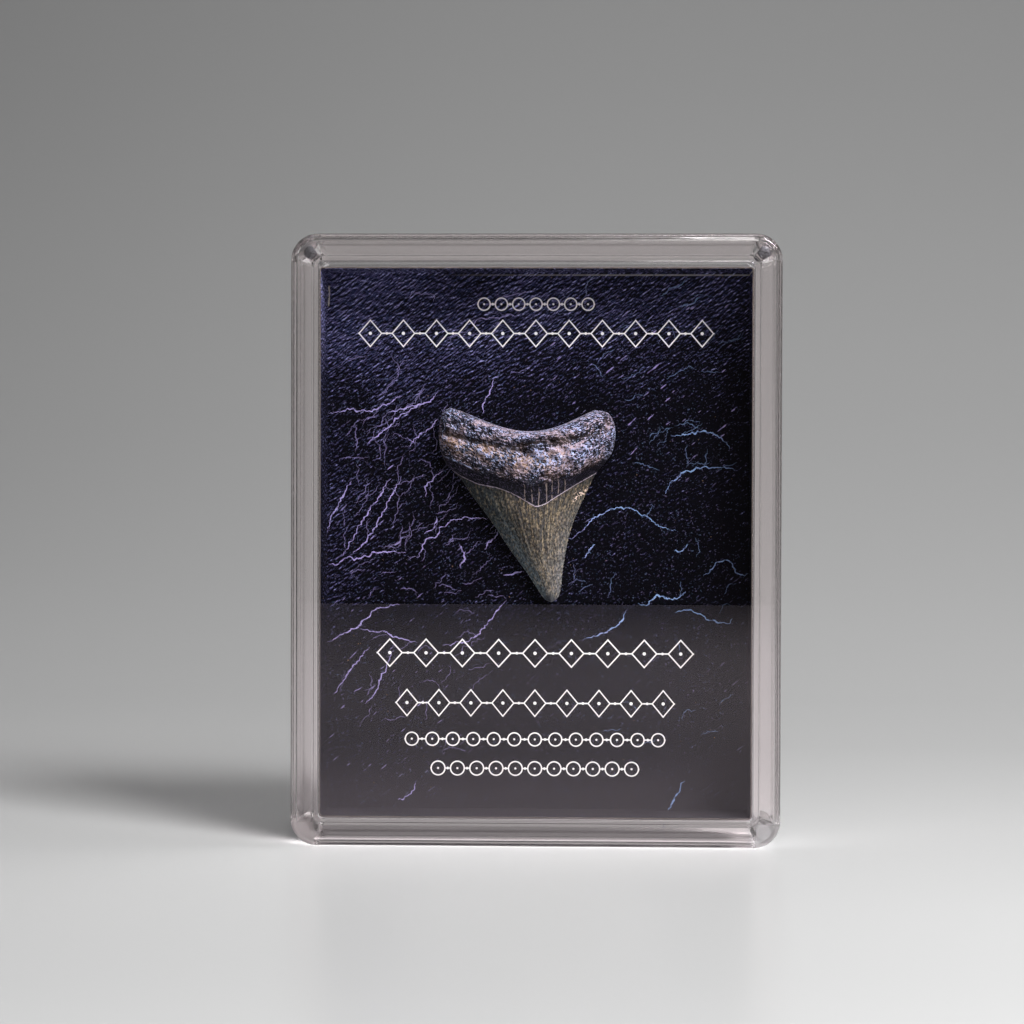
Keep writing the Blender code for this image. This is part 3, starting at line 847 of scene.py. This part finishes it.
# How far a row hangs below its chord: a saddle at the root's top, a V where the enamel starts
def rowSag(u, v):
    s = toothSettings
    saddle = math.sin(math.pi * u ** (math.log(0.5) / math.log(s["saddle"]))) ** 1.1
    rising, falling = u / s["saddle"], (1 - u) / (1 - s["saddle"])
    overlap = max(s["apexRound"] - abs(rising - falling), 0) / s["apexRound"]
    chevron = min(rising, falling) - overlap * overlap * s["apexRound"] / 4
    sharpness = smooth(0.15, s["enamelRow"], v)
    depth = s["topSag"] + (s["enamelSag"] - s["topSag"]) * smooth(0, s["enamelRow"], v)
    depth *= 1 - smooth(s["enamelRow"], 1, v)
    return depth * (saddle * (1 - sharpness) + chevron * sharpness)


def toothPoint(u, v, left, right):
    return left[0] + (right[0] - left[0]) * u, left[1] + (right[1] - left[1]) * u - rowSag(u, v)


def frontRelief(u, v):
    s = toothSettings
    sideways = abs(2 * u - 1)
    crest = 0.86 + 0.14 * math.cos(math.pi * (u - s["saddle"]) * 2)
    root = s["rootRelief"] * (1 - sideways**3.2) ** 0.5 * crest
    crownHeight = s["crownRelief"] + (s["tipRelief"] - s["crownRelief"]) * smooth(s["enamelRow"], 1, v)
    crown = crownHeight * (1 - sideways**1.7)
    blend = smooth(s["enamelRow"] - 0.16, s["enamelRow"] + 0.03, v)
    height = root * (1 - blend) + crown * blend
    brow = min(v / 0.11, 1)
    return height * (1 - (1 - brow) ** 2) ** 0.5


def backRelief(u, v):
    s = toothSettings
    brow = min(v / 0.08, 1)
    fade = 1 - 0.55 * smooth(s["enamelRow"], 1, v)
    return s["backRelief"] * fade * (1 - abs(2 * u - 1) ** 2.6) ** 0.5 * (1 - (1 - brow) ** 2) ** 0.5


# Lumps, grain, pits, grooves and lower step of the root, ridge of the enamel's edge and folds of the crown
def toothDetail(x, z, u, v, pits):
    s = toothSettings
    middle = math.sin(math.pi * u)
    enamel, border = lineAt(enamelLine, u), lineAt(borderLine, u)
    inRoot = 1 - smooth(border - 0.018, border + 0.018, v)
    lumps = 0.7 * noise.noise(Vector((x * 0.45, z * 0.6, 3.1))) + 0.45 * noise.noise(Vector((x, z, 7.7)))
    grain = 0.24 * noise.fractal(Vector((u * s["width"] * 1.1, v * s["height"] * 2.2, 1.7)), 0.7, 2.0, 3)
    left = math.exp(-(((v - lineAt(leftGroove, u)) / 0.016) ** 2)) * (1 - smooth(0.45, 0.60, u))
    right = math.exp(-(((v - lineAt(rightGroove, u)) / 0.016) ** 2)) * smooth(0.30, 0.42, u)
    groove = -0.75 * max(left, right) * smooth(0.0, 0.12, middle)
    hollow = sum(-1.5 * depth * math.exp(-1.6 * (math.hypot(x - px, z - pz) / radius) ** 2)
                 for px, pz, radius, depth in pits)
    inCrown = smooth(enamel, enamel + 0.06, v) * (1 - smooth(0.5, 0.95, v))
    step = 0.50 * inRoot + 0.12 * (1 - smooth(enamel - 0.008, enamel + 0.002, v))
    ridge = 0.14 * math.exp(-(((v - enamel) / 0.0045) ** 2))
    folds = (0.07 * math.sin(u * 40 + 2 * math.sin(u * 9)) + 0.04 * math.sin(u * 97 + v * 3)) * inCrown
    return (lumps + grain + groove + hollow) * inRoot + step + ridge + folds


def makeToothMesh():
    s = toothSettings
    rowCount, columnCount = s["rows"], s["columns"]
    pits = []
    for u, v, radius, depth in rootPits:
        pits.append((*toothPoint(u, v, along(leftSide, v), along(rightSide, v)), radius, depth))
    start = s["columnCrowding"]
    turns = [math.pi * (start + (1 - 2 * start) * column / columnCount) for column in range(columnCount + 1)]
    columns = [0.5 - 0.5 * math.cos(turn) / math.cos(turns[0]) for turn in turns]
    rows = [s["lastRow"] * (row / (rowCount - 1)) ** s["rowCrowding"] for row in range(rowCount)]
    verts, places = [], []
    skins = ([], [])
    for row, v in enumerate(rows):
        left, right = along(leftSide, v), along(rightSide, v)
        saw = s["serration"] * math.sin(2 * math.pi * v * s["height"] / s["serrationPitch"])
        saw *= smooth(s["enamelRow"], s["enamelRow"] + 0.05, v) * (1 - smooth(0.93, 1, v))
        left, right = (left[0] - saw, left[1]), (right[0] + saw, right[1])
        lines = ([], [])
        for column, u in enumerate(columns):
            x, z = toothPoint(u, v, left, right)
            spot = Vector((s["x"] + x, s["edgeY"], s["z"] + z))
            places.append((u, v))
            if row == 0 or column in (0, columnCount):
                verts.append(spot)
                for line in lines:
                    line.append(len(verts) - 1)
                continue
            height = frontRelief(u, v)
            height += toothDetail(x, z, u, v, pits) * smooth(0, s["rootRelief"] / 2, height)
            verts.append(spot - Vector((0, max(height, s["thinnest"]), 0)))
            depth = backRelief(u, v)
            depth += 0.35 * min(toothDetail(-x, z, 1 - u, v, []), 0) * smooth(0, 1, depth)
            verts.append(spot + Vector((0, max(depth, s["thinnest"]), 0)))
            places.append((u, v))
            lines[0].append(len(verts) - 2)
            lines[1].append(len(verts) - 1)
        skins[0].append(lines[0])
        skins[1].append(lines[1])
    tipX, tipZ = leftSide[-1]
    verts.append(Vector((s["x"] + tipX, s["edgeY"] - s["tipRelief"] / 3, s["z"] + tipZ)))
    places.append((0.5, 1.0))
    tip = len(verts) - 1
    faces = []
    for skin, turn in ((skins[0], 1), (skins[1], -1)):
        for upper, lower in zip(skin, skin[1:]):
            for c in range(columnCount):
                faces.append((upper[c], lower[c], lower[c + 1], upper[c + 1])[::turn])
        for c in range(columnCount):
            faces.append((skin[-1][c], tip, skin[-1][c + 1])[::turn])
    mesh = bpy.data.meshes.new("tooth_surface")
    mesh.from_pydata([vert * mm for vert in verts], [], faces)
    layer = mesh.uv_layers.new(name="toothMap")
    for loop in mesh.loops:
        layer.data[loop.index].uv = places[loop.vertex_index]
    smoothShade(mesh, s["smoothTo"])
    return mesh


fossilSettings = {
    "rootDark": (0.007, 0.007, 0.012), "rootPale": (0.25, 0.21, 0.37), "rootWhite": (0.36, 0.42, 0.66),
    "rootPink": (0.40, 0.30, 0.34), "rootTan": (0.40, 0.28, 0.19),
    "grooveDark": (0.014, 0.008, 0.006), "ochre": (0.16, 0.09, 0.045),
    "bandDark": (0.006, 0.006, 0.009), "bandLine": (0.34, 0.27, 0.24), "enamelEdge": (0.60, 0.52, 0.62),
    "crownLeft": (0.044, 0.052, 0.055), "crownLeftLow": (0.10, 0.128, 0.145),
    "crownTan": (0.085, 0.074, 0.060), "crownLight": (0.29, 0.225, 0.14),
    "crownStreak": (0.016, 0.014, 0.015), "crownRight": (0.105, 0.10, 0.096),
    "crownLow": (0.150, 0.146, 0.146), "tipBlue": (0.028, 0.034, 0.043),
    "tipSpot": (4.9, -19.6), "tipSpotFade": (0.6, 1.6),
    "chip": (0.62, 0.48, 0.40),
    "rootRoughness": 0.62, "crownRoughness": 0.42, "specular": 0.08, "bump": 0.7, "bumpDepth": 0.0003,
    "bandLines": (-0.4, 1.15, 2.6, 4.2, 5.4, 6.7, 8.0),
}


def makeFossil():
    s, t = fossilSettings, toothSettings
    graph = ShaderGraph(bpy.data.materials.new("fossilTooth"))
    u, v = graph.split(graph.add("ShaderNodeUVMap", {"uv_map": "toothMap"})[0])[:2]
    x, y, z = graph.split(graph.place())
    x, z = x - t["x"], z - t["z"]
    across, down = u * t["width"], v * t["height"]
    wobble = graph.noise(graph.join(u * 30, v * 30, y), 0.5, 3.0) - 0.5
    fineWobble = graph.noise(graph.join(across, down, y), 1.6, 3.0, 0.6) - 0.5

    def lineRow(points):
        return graph.ramp(u, [(place, (row, row, row)) for place, row in points]) + 0.0

    enamelRow, borderRow = lineRow(enamelLine), lineRow(borderLine)
    leftRow, rightRow = lineRow(leftGroove), lineRow(rightGroove)

    # The root's pale grains over black, longer along the lobes
    grains = graph.noise(graph.join(u * 62, v * 105, y * 1.5), 1.0, 3.0, 0.7, 0.3)
    beside = graph.noise(graph.join(u * 62 - 0.22, v * 105 + 0.30, y * 1.5), 1.0, 3.0, 0.7, 0.3)
    patches = graph.noise(graph.join(u * 14, v * 18, y), 0.55, 3.0)
    hue = graph.noise(graph.join(across, down, y + 9), 1.9, 2.0)
    paintedCrestHighlight = 1 - graph.step(v, 0.01, 0.10)
    fibres = graph.noise(graph.join(u * 16, v * 150, y), 1.0, 3.0, 0.6)
    # Painted light and shade on the grain cover: more grains near the top, a painted highlight on the crest,
    # and more from the middle rightwards, leaving a painted shade on the left
    cover = (patches - 0.5) * 0.34 + paintedCrestHighlight * 0.05 + 0.05 * graph.step(u, 0.30, 0.60) - 0.05
    # Painted shade: fewer grains towards the root's lower border, above the band
    cover = cover - 0.16 * graph.step(v - borderRow, -0.075, 0.0) + (fibres - 0.5) * 0.5
    cover = cover + 0.09 * graph.between(v, 0.125, 0.175, 0.02) - 0.05 * graph.step(u, 0.78, 0.92)
    besideGroove = graph.between(v - rightRow, -0.022, 0.022, 0.012) * graph.between(u, 0.45, 0.95, 0.1)
    cover = cover - 0.12 * besideGroove
    lit = (grains - beside) * 0.8
    grainMask = graph.step(grains + lit + cover, 0.46, 0.62)
    pale = graph.mix(graph.step(hue, 0.38, 0.56), s["rootPale"], s["rootWhite"])
    pale = graph.mix(graph.step(patches + 0.6 * (fibres - 0.5), 0.48, 0.60) * 0.7, pale, s["rootPink"])
    underGroove = graph.between(v - leftRow, 0.0, 0.07, 0.03) * (1 - graph.step(u, 0.50, 0.85))
    tanMask = graph.step(hue, 0.56, 0.42) * (0.30 + 0.55 * underGroove)
    pale = graph.mix(tanMask, pale, s["rootTan"])
    root = graph.mix(grainMask, s["rootDark"], pale)
    root = graph.mix(graph.step(patches, 0.50, 0.62) * (0.12 + 0.30 * underGroove), root, s["ochre"])
    leftMask = graph.near(v - leftRow + 0.02 * wobble, 0.003, 0.012) * (1 - graph.step(u, 0.48, 0.62))
    rightMask = graph.near(v - rightRow + 0.02 * wobble, 0.002, 0.010) * graph.step(u, 0.28, 0.40)
    rightMask = rightMask * (1 - graph.step(u, 0.75, 0.92))
    root = graph.mix(graph.either(leftMask, rightMask) * 0.7, root, s["grooveDark"])

    # The dark band, with fine pale lines down its middle
    fleck = graph.step(graph.noise(graph.join(across, down, y), 2.2, 3.0, 0.75), 0.52, 0.64)
    band = graph.mix(fleck * (0.25 + 0.30 * (1 - graph.step(u, 0.1, 0.4))), s["bandDark"], s["rootPale"])
    sway = 0.9 * (graph.noise(graph.join(x, z * 0.5), 0.6, 3.0) - 0.5)
    lines = 0.0
    for place in s["bandLines"]:
        lines = graph.either(graph.near(x - place + sway, 0.03, 0.17), lines)
    ragged = graph.step(graph.noise(graph.join(x * 2, z * 0.9), 1.0, 2.0), 0.38, 0.50)
    band = graph.mix(lines * ragged * 0.7, band, s["bandLine"])

    # The crown: dark on the left, tan streaks in the middle, grey to the right and towards the tip
    streaks = graph.noise(graph.join(u * 30, v * 2.4, y * 0.2), 1.0, 4.0, 0.65)
    thin = graph.noise(graph.join(u * 70, v * 5.0, y * 0.2), 1.0, 3.0, 0.65)
    speckle = graph.noise(graph.join(x, z * 0.6, y), 2.9, 2.0, 0.6)
    tinted = graph.noise(graph.join(x + 40, z * 0.4, y), 2.2, 2.0, 0.6)
    inMiddle = graph.between(u, 0.30, 0.80, 0.14)
    leftTone = graph.mix(graph.step(v, 0.42, 0.80), s["crownLeft"], s["crownLeftLow"])
    crown = graph.mix(graph.step(u + 0.22 * (streaks - 0.5) - 0.12 * v, 0.14, 0.42), leftTone, s["crownTan"])
    crown = graph.mix(graph.step(u, 0.55, 0.95) * graph.step(v, 0.36, 0.66) * 0.8, crown, s["crownRight"])
    upperRight = graph.step(u, 0.65, 0.9) * graph.step(v, 0.52, 0.42)
    crown = graph.scale(crown, 0.78 + 0.22 * graph.step(v, 0.42, 0.60) - 0.28 * upperRight)
    crown = graph.mix(graph.step(v, 0.62, 0.95) * graph.step(u, 0.25, 0.6) * 0.8, crown, s["crownLow"])
    crown = graph.mix(graph.step(thin, 0.52, 0.62) * inMiddle * 0.65, crown, s["crownLight"])
    crown = graph.mix(graph.step(streaks, 0.50, 0.62) * (0.15 + 0.45 * inMiddle), crown, s["crownStreak"])
    crown = graph.mix(graph.step(thin, 0.48, 0.40) * (0.15 + 0.55 * inMiddle), crown, s["crownStreak"])
    crown = graph.mix(graph.step(hue, 0.52, 0.66) * 0.35, crown, s["tipBlue"])

    # Its fine speckle in two tones, the blue spot on the tip and the chips at the right
    crown = graph.mix(graph.step(tinted, 0.50, 0.60) * 0.45, crown, s["tipBlue"])
    crown = graph.mix(graph.step(tinted, 0.46, 0.38) * 0.35, crown, s["crownLight"])
    crown = graph.scale(crown, 0.42 + 1.15 * graph.step(speckle, 0.36, 0.64))
    spotX, spotZ = s["tipSpot"]
    spot = ((x - spotX) ** 2.0 + (z - spotZ) ** 2.0) ** 0.5
    crown = graph.mix(graph.near(spot, *s["tipSpotFade"]) * 0.8, crown, s["tipBlue"])
    chips = graph.between(u, 0.86, 0.99, 0.02) * graph.between(v, 0.425, 0.475, 0.01)
    chips = chips * graph.step(graph.noise(graph.join(x, z), 1.7, 3.0), 0.54, 0.58)
    crown = graph.mix(chips, crown, s["chip"])

    # Root, band and crown joined, with the pale lines between them
    colour = graph.mix(graph.step(v - borderRow + 0.035 * fineWobble, -0.006, 0.006), root, band)
    # Painted highlight: a pale line along the root's lower border at the left
    rim = graph.near(v - borderRow + 0.012 + 0.01 * wobble, 0.001, 0.007) * graph.between(u, 0.02, 0.17, 0.02)
    colour = graph.mix(rim * graph.step(grains, 0.40, 0.55) * 0.8, colour, s["rootWhite"])
    fromEnamel = v - enamelRow + 0.012 * fineWobble
    colour = graph.mix(graph.step(fromEnamel, -0.002, 0.003), colour, crown)
    edgeLine = graph.near(fromEnamel, 0.0008, 0.0046) * graph.step(hue, 0.28, 0.45)
    colour = graph.mix(edgeLine * 0.9, colour, s["enamelEdge"])

    inCrown = graph.step(fromEnamel, -0.01, 0.01)
    bumpHeight = graph.mix(inCrown, grains, streaks * 0.3)
    bumpSockets = {"Strength": s["bump"], "Distance": s["bumpDepth"], "Height": bumpHeight}
    bump = graph.add("ShaderNodeBump", {}, bumpSockets)[0]
    roughness = s["rootRoughness"] + (s["crownRoughness"] - s["rootRoughness"]) * inCrown
    shader = graph.add("ShaderNodeBsdfPrincipled", {}, {
        "Base Color": colour, "Roughness": roughness, "Specular IOR Level": s["specular"], "Normal": bump,
    })[0]
    return graph.finish(shader)


tooth = newPiece("tooth_surface", makeToothMesh(), makeFossil())
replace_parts(tooth, "tooth")
